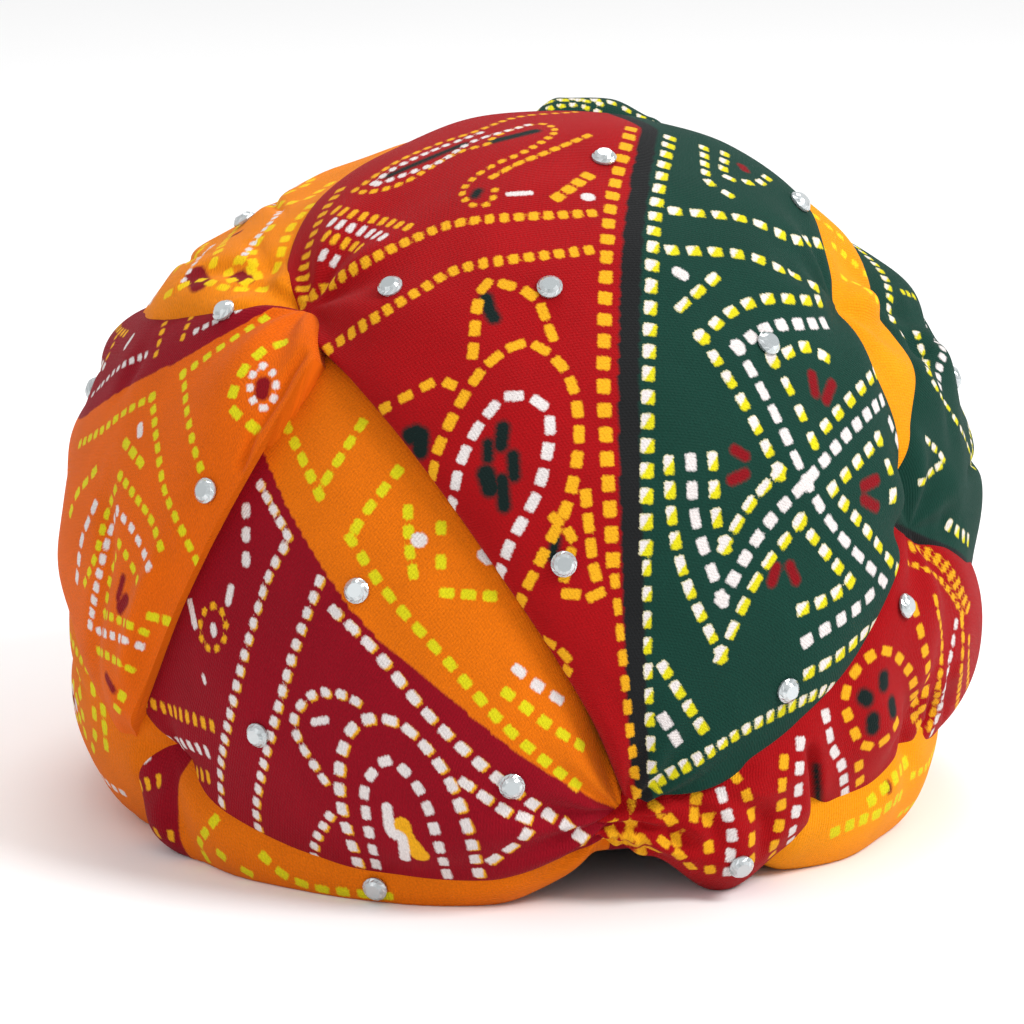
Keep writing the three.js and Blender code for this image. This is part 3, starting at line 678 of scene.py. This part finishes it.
# Printed blots: name, ink, width in millimetres and the photo's pixels that the blot runs through
BLOTS = dict(
    front_panel="""
    long bar: dark 2.6 388,176 430,158 464,144
    short bar: dark 3.6 494,141 535,131
    curl heart: dark 3.0 475,196 478,191
    comma: dark 4.0 486,298 490,312 494,318
    floret, stem: dark 4.2 503,428 501,445
    floret, left: dark 3.4 488,444 488,458
    floret, right: dark 3.8 513,456 514,476
    floret, low left: dark 5.4 486,474 490,488
    floret, foot: dark 4.0 502,480 504,506
    left blot: dark 5.4 410,436 420,434 420,450
    low blot: dark 2.6 464,540 470,556
    right blot: dark 3.0 556,540 552,556
    white dash: white 2.0 509,194 530,193
    white spot: white 3.6 587,197 589,197
    upper left petal: petal 3.2 735,450 745,456
    lower left petal: petal 3.2 732,480 745,474
    upper petal: petal 3.2 812,375 815,393
    upper right petal: petal 3.2 832,384 826,400
    right petal: petal 3.4 864,486 876,480
    lower right petal: petal 3.4 864,500 876,507
    bottom petal: petal 3.2 776,568 772,582
    bottom right petal: petal 3.2 790,566 796,580
    top petal: petal 3.0 742,166 745,170
    upper white mark: white 3.6 678,272 683,275
    """,
    left_front_wrap="""
    white spot: white 4.0 418,540 420,540
    right white spot: white 3.6 484,555 488,558
    floret heart: white 2.4 213,627 214,633
    floret dash: white 2.4 231,588 228,602
    left dash: white 2.2 190,602 195,626
    low specks: white 1.6 203,676 205,682
    first square: white 3.0 246,508 246,513
    second square: white 3.0 246,532 246,537
    third square: white 3.0 246,557 246,562
    splash, white: white 3.2 387,808 391,832 402,838 405,858
    splash: yellow 5.2 402,826 406,838 420,855
    loop dash: white 2.2 314,722 326,720
    """,
    left_flap="""
    ring heart: petal 4.4 263,384 262,393
    upper petal: petal 2.6 123,578 118,598
    petal: petal 4.0 126,600 120,608
    low petal: petal 3.4 107,678 112,688
    band splash: white 2.6 126,346 132,337
    band blot: yellow 3.0 209,304 215,308
    white mark: white 2.4 140,426 140,434
    """,
    crown_back_wrap="""
    dark blot: petal 6.5 195,274 200,284
    ring heart: petal 5.0 238,276 246,280
    far blot: petal 2.4 232,236 240,232
    """,
    right_front_roll="""
    ring dot, top: dark 4.8 884,678 884,684
    ring dot, left: dark 5.0 864,697 867,699
    ring dot, right: dark 5.0 892,704 893,710
    ring dot, low: dark 5.0 873,720 873,727
    green pleat: dark 2.2 816,766 818,800 815,836
    green pleat, foot: dark 3.6 818,806 815,838 806,846
    """,
    right_rim_roll="""
    dark spot: petal 3.0 887,785 889,789
    """,
)

# Lines between two grounds of one cloth: the photo's pixels, then directions where the line is out of sight
DIVIDES = dict(
    front_panel=([(650, 129), (640, 180), (632, 250), (629, 344), (629, 420), (633, 581), (639, 749),
                  (645, 797)], []),
    left_front_wrap=([(262, 450), (300, 530), (360, 620), (440, 690), (520, 755), (590, 797)], []),
    left_flap=([(272, 308), (239, 326), (203, 347), (167, 367), (137, 381), (105, 401), (81, 420)],
               [(-120, 17), (-150, 15), (-172, 12)]),
    right_back_fold=([], [(42, 13), (49, 9), (58, 4), (70, 2), (90, 0), (120, 2), (150, 4), (178, 8)]),
)

# Where a roll changes ground along its length
TURNS = dict(left_rim_roll=[(173, 790), (181, 826), (190, 862)])

# Creases pressed into a fold (or ridges raised, with a negative depth): depth and half-width in millimetres
CREASES = dict(
    left_flap="""
    hem: 1.8 1.5 308,345 292,369 280,392 262,419 251,436 243,458 236,478
    long ridge: -3.2 4.0 168,545 160,562 148,590 136,633 131,664 123,700
    inner fold: 2.6 5.0 104,470 104,560 92,640 98,700
    upper fold: 2.4 4.5 160,330 128,372 112,420
    """,
    crown_back_wrap="""
    tuck: 3.0 4.5 285,240 272,262 276,282
    rolled edge: 2.6 4.0 276,276 240,268 204,270 172,288
    first pucker: 1.8 3.0 282,284 262,262 250,236
    second pucker: 1.6 3.0 286,288 256,284 226,294
    """,
    front_panel="""
    right tuck: 2.6 4.5 770,262 795,270 818,284
    tip fold: 1.2 4.0 636,780 620,720 600,660
    """,
    right_front_roll="""
    open pleat: 4.0 2.4 801,742 812,752 817,770 818,806 810,842
    first pleat: 3.2 3.2 652,812 690,810 716,826 722,864
    second pleat: 3.0 3.2 656,803 716,786 768,768
    third pleat: 2.6 3.4 660,808 720,800 764,820 764,862
    low pleat: 2.6 3.0 650,818 676,832 694,860
    far fold: 3.6 3.0 906,752 922,738 938,706 944,668
    far pleat: 2.6 3.0 930,760 944,730 954,690 956,650
    """,
    right_back_fold="""
    edge roll: 3.0 5.0 905,300 916,330 922,370
    lower fold: 2.2 4.0 936,540 948,516 962,505
    long fold: 1.8 5.0 930,330 946,380 955,440 958,490
    """,
    left_front_wrap="""
    lower fold: 1.6 6.0 560,842 480,868 400,872 330,850
    gather fold: 1.3 5.0 590,812 540,790 480,760
    second gather fold: 1.2 3.5 594,824 552,822 506,812
    third gather fold: 1.2 3.5 592,834 556,842 520,852
    """,
    left_rim_roll="""
    turn: 2.2 4.5 168,790 176,826 192,858
    """,
)


def pair(word):
    return tuple(map(float, word.split(",")))


def charted(chart, name):
    """The rows of a fold's chart: two words and the pixels that the row runs through."""
    for line in chart.get(name, "").strip().splitlines():
        first, second, *places = line.split(":")[1].split()
        if places[0] == "ring":
            pixels = ring(*pair(places[1]), *pair(places[2]))
        else:
            pixels = [pair(word) for word in places]
        yield first, second, pixels


def through(points, gap=4.0):
    """Close-set points on a smooth curve through a few."""
    pts = np.array(points, float)
    if len(pts) > 2:
        ends = np.vstack([2 * pts[0] - pts[1], pts, 2 * pts[-1] - pts[-2]])
    else:
        ends = np.vstack([2 * pts[0] - pts[-1], pts, 2 * pts[-1] - pts[0]])
    out = []
    for p0, p1, p2, p3 in zip(ends, ends[1:], ends[2:], ends[3:]):
        steps = max(1, int(np.linalg.norm(p2 - p1) / gap))
        w = np.linspace(0, 1, steps, endpoint=False)[:, None]
        out.append(0.5 * (2 * p1 + (p2 - p0) * w + (2 * p0 - 5 * p1 + 4 * p2 - p3) * w**2
                          + (3 * p1 - p0 - 3 * p2 + p3) * w**3))
    return np.vstack(out + [pts[-1:]])


def pixels_on(cloth, pixels):
    return [p for p in map(cloth.seen_at, through(pixels)) if p is not None]


WAY_REACH = 1.5


def spaced(points, pitch):
    """Points at an even pitch along a line, with the way it runs."""
    pts = np.array(points)
    lengths = np.r_[0, np.cumsum(np.linalg.norm(np.diff(pts, axis=0), axis=1))]
    count = max(1, int(round(lengths[-1] / pitch)))

    def point(x):
        x = np.clip(x, 0, lengths[-1])
        return np.array([np.interp(x, lengths, pts[:, k]) for k in range(3)])

    for place in np.linspace(0, lengths[-1], count + 1):
        yield point(place), point(place + WAY_REACH) - point(place - WAY_REACH)


# The white corner of a two-ink dot, the points round a drop motif and its width as a share of its length
WHITE_CORNER = unit(UP * 0.55 - RIGHT * 0.85)
DROP_POINTS = 25
DROP_WIDTH = 0.42


def dotted(cloth, ink, kind, points):
    """A line of dots; both is half white and half yellow, fringe is white with a yellow edge."""
    if len(points) < 2:
        return
    length, width, pitch = DOTS[kind]
    for here, way in spaced(points, pitch):
        grow = 1 + RNG.uniform(-0.08, 0.08)
        size = (length * grow, width * (2 - grow))
        if ink == "both":
            cloth.stamp("yellow", here, way, *size)
            cloth.stamp("white", here, way, *size, toward=WHITE_CORNER, keep=RNG.uniform(-0.6, 0.6))
        elif ink == "fringe":
            cloth.stamp("white", here, way, *size)
            cloth.stamp("yellow", here - WHITE_CORNER * 0.8, way, *size)
        else:
            cloth.stamp(ink, here, way, *size)


def blot(cloth, ink, width, points):
    if len(points) < 2:
        return
    for here, way in spaced(points, width / 3):
        cloth.stamp(ink, here, way, width, width, soft=width / 2 - 0.05)


def drop(cloth, centre, along, length, ink, kind):
    """A hanging-drop motif of dots, laid on the cloth round a centre."""
    turn = np.linspace(0, 2 * math.pi, DROP_POINTS)
    n = unit(centre - HEART)
    along = unit(along - n * (along @ n))
    side = np.cross(n, along)
    x = -np.cos(turn) * length / 2
    y = np.sin(turn) * np.sin(turn / 2) ** 1.4 * length * DROP_WIDTH
    places = centre + x[:, None] * along + y[:, None] * side
    found = (cloth.tree.find_nearest(Vector(p))[0] for p in places)
    dotted(cloth, ink, kind, [np.array(p) for p in found if p is not None])


# The print on the sides that the photo doesn't show: rails and drops from a share of a fold's length on
PLAIN = ("yellow", "white")
REPEATS = dict(
    crown_back_wrap=dict(start=0.30, rails=(0.12, 0.86), drops=0.48, size=34, inks=PLAIN, gap=46),
    lower_back_wrap=dict(start=0.17, rails=(0.25, 0.70), drops=0.47, size=18, inks=PLAIN, gap=30),
    left_flap=dict(start=0.50, rails=(0.10, 0.22, 0.90), drops=0.56, size=34, inks=PLAIN, gap=48),
    right_back_fold=dict(start=0.30, rails=(0.12, 0.30, 0.92), drops=0.58, size=34,
                         inks=("both", "white"), gap=46),
    right_front_roll=dict(start=0.78, rails=(0.3, 0.7), drops=0.5, size=16, inks=PLAIN, gap=28),
    right_rim_roll=dict(start=0.55, rails=(0.35, 0.6), drops=0.5, size=0, inks=("yellow",), gap=30),
    right_tuck_strip=dict(start=0.52, rails=(0.25, 0.75), drops=0.5, size=20, inks=PLAIN, gap=34),
    top_tuck=dict(start=0.1, rails=(0.35, 0.65), drops=0.5, size=0, inks=("both",), gap=30),
)


def repeat_print(cloth, start, rails, drops, size, inks, gap):
    count = len(cloth.t) - 1
    rows = range(int(start * count), count)
    for k, v in enumerate(rails):
        dotted(cloth, inks[k % len(inks)], "lace", [cloth.at(i / count, v) for i in rows])
    if not size:
        return
    centres = list(spaced([cloth.at(i / count, drops) for i in rows], gap))[1:-1]
    for k, (here, way) in enumerate(centres):
        turned = way if k % 2 else -way
        drop(cloth, here, turned, size, inks[0], "edge")
        drop(cloth, here, turned, size * 0.6, inks[1], "edge")
        blot(cloth, "petal", 3.4, [here - unit(way) * 2, here + unit(way) * 2])


def print_cloth(cloth):
    for depth, width, pixels in charted(CREASES, cloth.name):
        cloth.crease(pixels_on(cloth, pixels), float(depth), float(width))
    cloth.settle()
    if cloth.name in DIVIDES:
        pixels, directions = DIVIDES[cloth.name]
        seen = pixels_on(cloth, pixels) if pixels else []
        hidden = [p for p in (cloth.toward(*d) for d in directions) if p is not None]
        cloth.divide(seen + hidden, from_edge=cloth.name == "left_flap")
    if cloth.name in TURNS:
        places = [cloth.nearest(p)[0] for p in pixels_on(cloth, TURNS[cloth.name])]
        cloth.side = cloth.along - cloth.along.ravel()[places].mean()
    for ink, kind, pixels in charted(LINES, cloth.name):
        dotted(cloth, ink, kind, pixels_on(cloth, pixels))
    for ink, width, pixels in charted(BLOTS, cloth.name):
        blot(cloth, ink, float(width), pixels_on(cloth, pixels))
    if cloth.name in REPEATS:
        repeat_print(cloth, **REPEATS[cloth.name])


cloths = {name: Cloth(name) for name in FOLDS}
for cloth in cloths.values():
    print_cloth(cloth)


def set_input(node, name, value):
    node.inputs[name].default_value = value


class Nodes:
    """A small helper that adds and links shader nodes."""

    def __init__(self, name):
        self.material = bpy.data.materials.new(name)
        self.material.use_nodes = True
        self.tree = self.material.node_tree
        self.shader = self.tree.nodes["Principled BSDF"]

    def add(self, kind, **settings):
        node = self.tree.nodes.new(kind)
        for key, value in settings.items():
            setattr(node, key, value)
        return node

    def link(self, a, b):
        self.tree.links.new(a, b)

    def math(self, operation, a, b=None, clamp=False):
        node = self.add("ShaderNodeMath", operation=operation, use_clamp=clamp)
        for socket, value in zip(node.inputs, (a, b)):
            if value is None:
                continue
            if isinstance(value, (int, float)):
                socket.default_value = value
            else:
                self.link(value, socket)
        return node.outputs[0]

    def mix(self, factor, a, b, blend="MIX"):
        node = self.add("ShaderNodeMix", data_type="RGBA", blend_type=blend)
        for socket, value in ((node.inputs[0], factor), (node.inputs[6], a), (node.inputs[7], b)):
            if isinstance(value, (int, float, tuple)):
                socket.default_value = value
            else:
                self.link(value, socket)
        return node.outputs[2]

    def attribute(self, name, output="Fac"):
        return self.add("ShaderNodeAttribute", attribute_name=name).outputs[output]

    def noise(self, vector, scale, detail=2.0, roughness=0.5):
        node = self.add("ShaderNodeTexNoise")
        self.link(vector, node.inputs["Vector"])
        set_input(node, "Scale", scale)
        set_input(node, "Detail", detail)
        set_input(node, "Roughness", roughness)
        return node.outputs["Fac"]

    def edge(self, value, soft):
        """0 below minus soft, 1 above soft."""
        return self.math("ADD", self.math("MULTIPLY", value, 0.5 / soft), 0.5, clamp=True)


def srgb(r, g, b):
    """A colour as seen on the photo, 0 to 255, as linear light."""
    shares = (c / 255 for c in (r, g, b))
    light = [s / 12.92 if s < 0.04045 else ((s + 0.055) / 1.055) ** 2.4 for s in shares]
    return (*light, 1.0)


RED = srgb(152, 5, 12)
CRIMSON = srgb(134, 4, 24)
GREEN = srgb(14, 54, 44)
BLACK = srgb(26, 27, 28)
ORANGE = srgb(212, 104, 2)
# Orange set darker than ORANGE for the left flap: painted shade of the shaded left side
SHADED_ORANGE = srgb(212, 92, 1)
AMBER = srgb(222, 124, 4)
YELLOW_ORANGE = srgb(230, 142, 6)
DOT_YELLOW = srgb(224, 160, 24)
DOT_LIME = srgb(206, 196, 20)
DOT_WHITE = srgb(214, 206, 204)
DARK = srgb(14, 30, 28)
PETAL = srgb(124, 8, 18)
DOT_BRIGHT = srgb(228, 190, 8)


# Weave and grain of the cloth: pitches in millimetres, noise scales per millimetre, bump depth in metres
RIB_PITCH = 0.85
CROSS_PITCH = 1.1
FUZZ_SCALE = 1.1
GRAIN_SCALE = 1.7
BLOTCH_SCALE = 0.05
FRAY = 1.1
BUMP_DEPTH = 0.0003


def cloth_material(name, first, second=None, stripe=None, stripe_half=2.9, yellow=DOT_YELLOW,
                   second_yellow=None):
    """Printed crepe: grounds by the dividing line, dots by their distance, a fine rib and a grain."""
    n = Nodes(name)
    weave = n.attribute("weave", "Vector")
    parts = n.add("ShaderNodeSeparateXYZ")
    n.link(weave, parts.inputs[0])
    fuzz = n.noise(weave, FUZZ_SCALE, 2.0, 0.6)
    fray = n.math("MULTIPLY", n.math("SUBTRACT", fuzz, 0.5), FRAY)
    side = n.math("ADD", n.attribute("side"), n.math("MULTIPLY", fray, 0.8))
    colour = first
    dots = yellow
    if second is not None:
        over = n.edge(side, 0.35)
        colour = n.mix(over, first, second)
        if second_yellow is not None:
            dots = n.mix(over, yellow, second_yellow)
    if stripe is not None:
        near = n.math("SUBTRACT", stripe_half, n.math("ABSOLUTE", side))
        colour = n.mix(n.edge(near, 0.5), colour, stripe)
    blotch = n.noise(weave, BLOTCH_SCALE, 3.0, 0.6)
    grain = n.noise(weave, GRAIN_SCALE, 3.0, 0.7)
    shade = n.math("ADD", n.math("MULTIPLY", blotch, 0.3), n.math("MULTIPLY", grain, 0.9))
    shade = n.math("ADD", shade, 0.4)
    inks = (("petal", PETAL, 0.6), ("dark", DARK, 0.8), ("yellow", dots, 0.3), ("white", DOT_WHITE, 0.3))
    for ink, tint, soft in inks:
        inside = n.math("ADD", n.attribute(ink), fray)
        colour = n.mix(n.edge(inside, soft), colour, tint)
    grey = n.add("ShaderNodeCombineColor")
    for k in range(3):
        n.link(shade, grey.inputs[k])
    colour = n.mix(1.0, colour, grey.outputs[0], "MULTIPLY")
    n.link(colour, n.shader.inputs["Base Color"])
    rib = n.math("MULTIPLY", parts.outputs[0], 2 * math.pi / RIB_PITCH)
    rib = n.math("SINE", n.math("ADD", rib, n.math("MULTIPLY", fuzz, 2.5)))
    cross = n.math("SINE", n.math("MULTIPLY", parts.outputs[1], 2 * math.pi / CROSS_PITCH))
    height = n.math("ADD", n.math("MULTIPLY", rib, 0.5), n.math("MULTIPLY", cross, 0.25))
    height = n.math("ADD", height, n.math("MULTIPLY", grain, 2.2))
    bump = n.add("ShaderNodeBump")
    set_input(bump, "Strength", 0.5)
    set_input(bump, "Distance", BUMP_DEPTH)
    n.link(height, bump.inputs["Height"])
    n.link(bump.outputs[0], n.shader.inputs["Normal"])
    rough = n.math("ADD", n.math("MULTIPLY", grain, 0.25), 0.65)
    n.link(rough, n.shader.inputs["Roughness"])
    set_input(n.shader, "Sheen Weight", 0.03)
    set_input(n.shader, "Sheen Roughness", 0.4)
    set_input(n.shader, "Specular IOR Level", 0.1)
    return n.material


MATERIALS = dict(
    front_panel=cloth_material("panel_print", RED, GREEN, BLACK, 2.9, DOT_YELLOW, DOT_LIME),
    left_front_wrap=cloth_material("wrap_print", ORANGE, CRIMSON, None, 0, DOT_LIME, DOT_YELLOW),
    # The flap's orange ground is the darker orange: painted shade of the left side
    left_flap=cloth_material("flap_print", CRIMSON, SHADED_ORANGE, None, 0, DOT_YELLOW, DOT_LIME),
    right_back_fold=cloth_material("fold_print", GREEN, RED, BLACK, 2.2, DOT_LIME, DOT_YELLOW),
    crown_back_wrap=cloth_material("crown_print", AMBER, yellow=DOT_BRIGHT),
    lower_back_wrap=cloth_material("lower_print", ORANGE, yellow=DOT_LIME),
    right_rim_roll=cloth_material("right_rim_print", YELLOW_ORANGE, yellow=DOT_LIME),
    left_rim_roll=cloth_material("left_rim_print", CRIMSON, ORANGE, None, 0, DOT_YELLOW, DOT_LIME),
    right_tuck_strip=cloth_material("strip_print", YELLOW_ORANGE, yellow=DOT_LIME),
    right_front_roll=cloth_material("roll_print", RED, yellow=DOT_YELLOW),
    top_tuck=cloth_material("tuck_print", GREEN, yellow=DOT_LIME),
)


def mesh_object(name, points, quads, caps=()):
    mesh = bpy.data.meshes.new(name)
    mesh.from_pydata([], [], [])
    quads = np.asarray(quads, np.int32)
    loops = [quads.ravel()]
    totals = [np.full(len(quads), 4, np.int32)]
    for cap in caps:
        loops.append(np.asarray(cap, np.int32))
        totals.append(np.array([len(cap)], np.int32))
    loops, totals = np.concatenate(loops), np.concatenate(totals)
    mesh.vertices.add(len(points))
    mesh.vertices.foreach_set("co", np.asarray(points * MM, np.float32).ravel())
    mesh.loops.add(len(loops))
    mesh.loops.foreach_set("vertex_index", loops)
    mesh.polygons.add(len(totals))
    mesh.polygons.foreach_set("loop_start", np.r_[0, np.cumsum(totals)[:-1]].astype(np.int32))
    mesh.polygons.foreach_set("loop_total", totals)
    mesh.update(calc_edges=True)
    mesh.validate()
    mesh.shade_smooth()
    obj = bpy.data.objects.new(name, mesh)
    bpy.context.scene.collection.objects.link(obj)
    return obj


def ring_faces(rows, count):
    i, k = np.meshgrid(np.arange(rows - 1), np.arange(count), indexing="ij")
    nxt = (k + 1) % count
    here, above = i * count, (i + 1) * count
    return np.stack([here + k, here + nxt, above + nxt, above + k], -1).reshape(-1, 4)


def outward(points, quads):
    """True if the closed rings face out."""
    a, b, c, d = (points[quads[:, k]] for k in range(4))
    return (np.cross(b - a, c - a) * a).sum() + (np.cross(c - a, d - a) * a).sum() > 0


def ring_solid(name, rings):
    """A closed mesh through rings of points, with a flat end on the first and the last."""
    rows, count = rings.shape[:2]
    points = rings.reshape(-1, 3)
    quads = ring_faces(rows, count)
    caps = [list(range(count))[::-1], [(rows - 1) * count + k for k in range(count)]]
    if not outward(points - points.mean(0), quads):
        quads = quads[:, ::-1]
        caps = [c[::-1] for c in caps]
    return mesh_object(name, points, quads, caps)


def add_attribute(mesh, name, values):
    vector = values.ndim == 2
    layer = mesh.attributes.new(name, "FLOAT_VECTOR" if vector else "FLOAT", "POINT")
    layer.data.foreach_set("vector" if vector else "value", np.asarray(values, np.float32).ravel())


def build_cloth(cloth):
    rings = np.concatenate([cloth.grid, cloth.root], axis=1)
    rows = len(rings)
    obj = ring_solid(f"cloth_{cloth.name}", rings)
    pad = cloth.root.shape[1]

    def ringed(values, fill):
        return np.pad(values.reshape(rows, -1), ((0, 0), (0, pad)), constant_values=fill).ravel()

    for ink, values in cloth.ink.items():
        add_attribute(obj.data, ink, ringed(values, NO_INK))
    side = cloth.side
    add_attribute(obj.data, "side", np.concatenate([side, np.repeat(side[:, -1:], pad, 1)], 1).ravel())
    along, across = ringed(cloth.along, 0.0), ringed(cloth.across, 0.0)
    add_attribute(obj.data, "weave", np.stack([along, across, np.zeros(len(along))], -1))
    obj.data.materials.append(MATERIALS[cloth.name])
    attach(obj, "root")
    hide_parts(cloth.name)


for cloth in cloths.values():
    build_cloth(cloth)


def wound_body():
    """Inner wound cloth: a dome with low turns of cloth on its inside, hollow for the head."""
    turns = BODY_TURNS
    az = np.arange(turns) * 360 / turns
    rim = -math.degrees(math.atan2(HEART[2] - RIM_HEIGHT, BODY_WIDTH / 2 - 5))
    rings = []
    for el in np.linspace(86, rim, OUTER_RINGS):
        d = direction(az, np.full(turns, el))
        p = place_on(d, np.full(turns, -1.0))
        p[:, 2] = np.maximum(p[:, 2], RIM_HEIGHT)
        rings.append(p)
    for share in np.linspace(0, 0.97, INNER_RINGS):
        climb = share * math.pi / 2
        turn = np.radians(az)
        wind = TURN_RELIEF * np.abs(np.sin(9 * climb + turn * 0.5)) ** 0.6
        width = math.cos(climb) ** (2 / ROUNDNESS)
        rings.append(np.stack([
            HEART[0] + (HEAD_WIDTH / 2 + 0.6 - wind) * width * np.sin(turn),
            HEART[1] - (HEAD_LENGTH / 2 + 0.6 - wind) * width * np.cos(turn),
            np.full(turns, RIM_HEIGHT + (HOLLOW_TOP - RIM_HEIGHT) * math.sin(climb) ** (2 / ROUNDNESS)),
        ], -1))
    obj = ring_solid("cloth_wound_body", np.array(rings))
    x, y, z = np.concatenate(rings).T
    add_attribute(obj.data, "weave", np.stack([z, np.hypot(x, y) * 0.3 + x, y], -1))
    for ink in INKS:
        add_attribute(obj.data, ink, np.full(len(x), NO_INK))
    add_attribute(obj.data, "side", np.full(len(x), ONE_GROUND))
    obj.data.materials.append(cloth_material("inner_print", CRIMSON))
    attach(obj, "root")
    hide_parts("wound_body")


wound_body()


def stone_material():
    n = Nodes("stone_clear")
    place = n.add("ShaderNodeNewGeometry")
    # Each facet's brightness, from shaded grey-teal to lit white, comes from noise on its normal: painted
    # facet reflections; the same noise also varies the roughness
    facet_glint = n.noise(place.outputs["Normal"], 2.6, 1.0)
    colour = n.mix(facet_glint, srgb(112, 124, 126), srgb(236, 240, 242))
    n.link(colour, n.shader.inputs["Base Color"])
    n.link(n.math("MULTIPLY", facet_glint, 0.2), n.shader.inputs["Roughness"])
    set_input(n.shader, "Metallic", 0.55)
    set_input(n.shader, "Coat Weight", 0.6)
    return n.material


# A stone's rings: share of its radius, height in millimetres and share of a side that the ring is turned by
STONE_RINGS = ((0.97, 0.0, 0), (1.0, 0.35, 0), (1.0, 0.75, 0), (0.8, 1.6, 0.5), (0.56, 2.3, 0))
LOOK_BACK = 30.0
STONE_LIFT = 0.2
SEAT_SEARCH = 4.0
ASIDE = (0.3, 0.2, 0.9)
stone_look = stone_material()


def build_stone(name):
    """A clear cut stone: flat back, girdle, main crown facets, star facets and a table."""
    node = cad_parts[name]
    v = np.array([tuple(x.co) for x in node.data.vertices]) / MM
    centre = v.mean(0)
    way = unit(np.linalg.svd(v - centre)[2][2])
    out = unit(centre - HEART)
    way = way if way @ out > 0 else -way
    foot = centre + way * ((v - centre) @ way).min()
    best = None
    for cloth in cloths.values():
        hit = cloth.tree.ray_cast(Vector(foot + way * LOOK_BACK), Vector(-way))
        if hit[0] is not None and (best is None or hit[3] < best):
            best = hit[3]
    if best is not None and abs(LOOK_BACK - best) < SEAT_SEARCH:
        foot = foot + way * (LOOK_BACK + STONE_LIFT - best)
    x = unit(np.cross(way, ASIDE))
    y = np.cross(way, x)
    rings = []
    for radius, height, turn in STONE_RINGS:
        a = (np.arange(STONE_SIDES) + turn) * 2 * math.pi / STONE_SIDES
        circle = np.cos(a)[:, None] * x + np.sin(a)[:, None] * y
        rings.append(foot + STONE_RADIUS * radius * circle + way * height)
    obj = ring_solid(f"cut_{name}", np.array(rings))
    obj.data.shade_flat()
    obj.data.materials.append(stone_look)
    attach(obj, "root")
    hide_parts(name)


for name in sorted(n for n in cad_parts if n.startswith("stone_")):
    build_stone(name)


def add_floor():
    mesh = bpy.data.meshes.new("floor")
    mesh.from_pydata([(-4, -4, 0), (4, -4, 0), (4, 4, 0), (-4, 4, 0)], [], [(0, 1, 2, 3)])
    obj = bpy.data.objects.new("floor", mesh)
    bpy.context.scene.collection.objects.link(obj)
    n = Nodes("floor_pale")
    place = n.add("ShaderNodeTexCoord")
    tone = n.noise(place.outputs["Object"], 3.0)
    n.link(n.mix(tone, (0.95, 0.95, 0.95, 1), (0.97, 0.97, 0.97, 1)), n.shader.inputs["Base Color"])
    set_input(n.shader, "Roughness", 0.9)
    set_input(n.shader, "Specular IOR Level", 0.1)
    mesh.materials.append(n.material)


# Studio lights: places and sizes in metres, power in watts
LIGHTS = [
    dict(name="key", place=(0.85, -0.8, 1.15), target=(0, 0, 0.09), size=0.6, power=17),
    dict(name="fill", place=(-1.2, -1.0, 0.7), target=(0, 0, 0.09), size=1.2, power=2),
    dict(name="top", place=(0.2, 0.5, 1.6), target=(0, 0, 0.1), size=0.9, power=8),
]
WORLD_STRENGTH = 0.8


def add_light(name, place, target, size, power):
    data = bpy.data.lights.new(name, "AREA")
    data.shape = "DISK"
    data.size = size
    data.energy = power
    obj = bpy.data.objects.new(name, data)
    obj.location = place
    obj.rotation_euler = (Vector(target) - Vector(place)).to_track_quat("-Z", "Y").to_euler()
    bpy.context.scene.collection.objects.link(obj)


def add_camera():
    data = bpy.data.cameras.new("camera")
    data.sensor_width = SENSOR_MM
    data.lens = FOCAL_PIXELS / PHOTO_SIZE * SENSOR_MM
    data.clip_end = 50
    obj = bpy.data.objects.new("camera", data)
    obj.location = CAMERA * MM
    obj.rotation_euler = Vector(-BACK).to_track_quat("-Z", "Y").to_euler()
    bpy.context.scene.collection.objects.link(obj)
    bpy.context.scene.camera = obj


add_floor()
add_camera()
for light in LIGHTS:
    add_light(**light)
world = bpy.data.worlds.new("studio")
bpy.context.scene.world = world
world.use_nodes = True
set_input(world.node_tree.nodes["Background"], "Color", (1, 1, 1, 1))
set_input(world.node_tree.nodes["Background"], "Strength", WORLD_STRENGTH)
bpy.context.scene.view_settings.view_transform = "Standard"
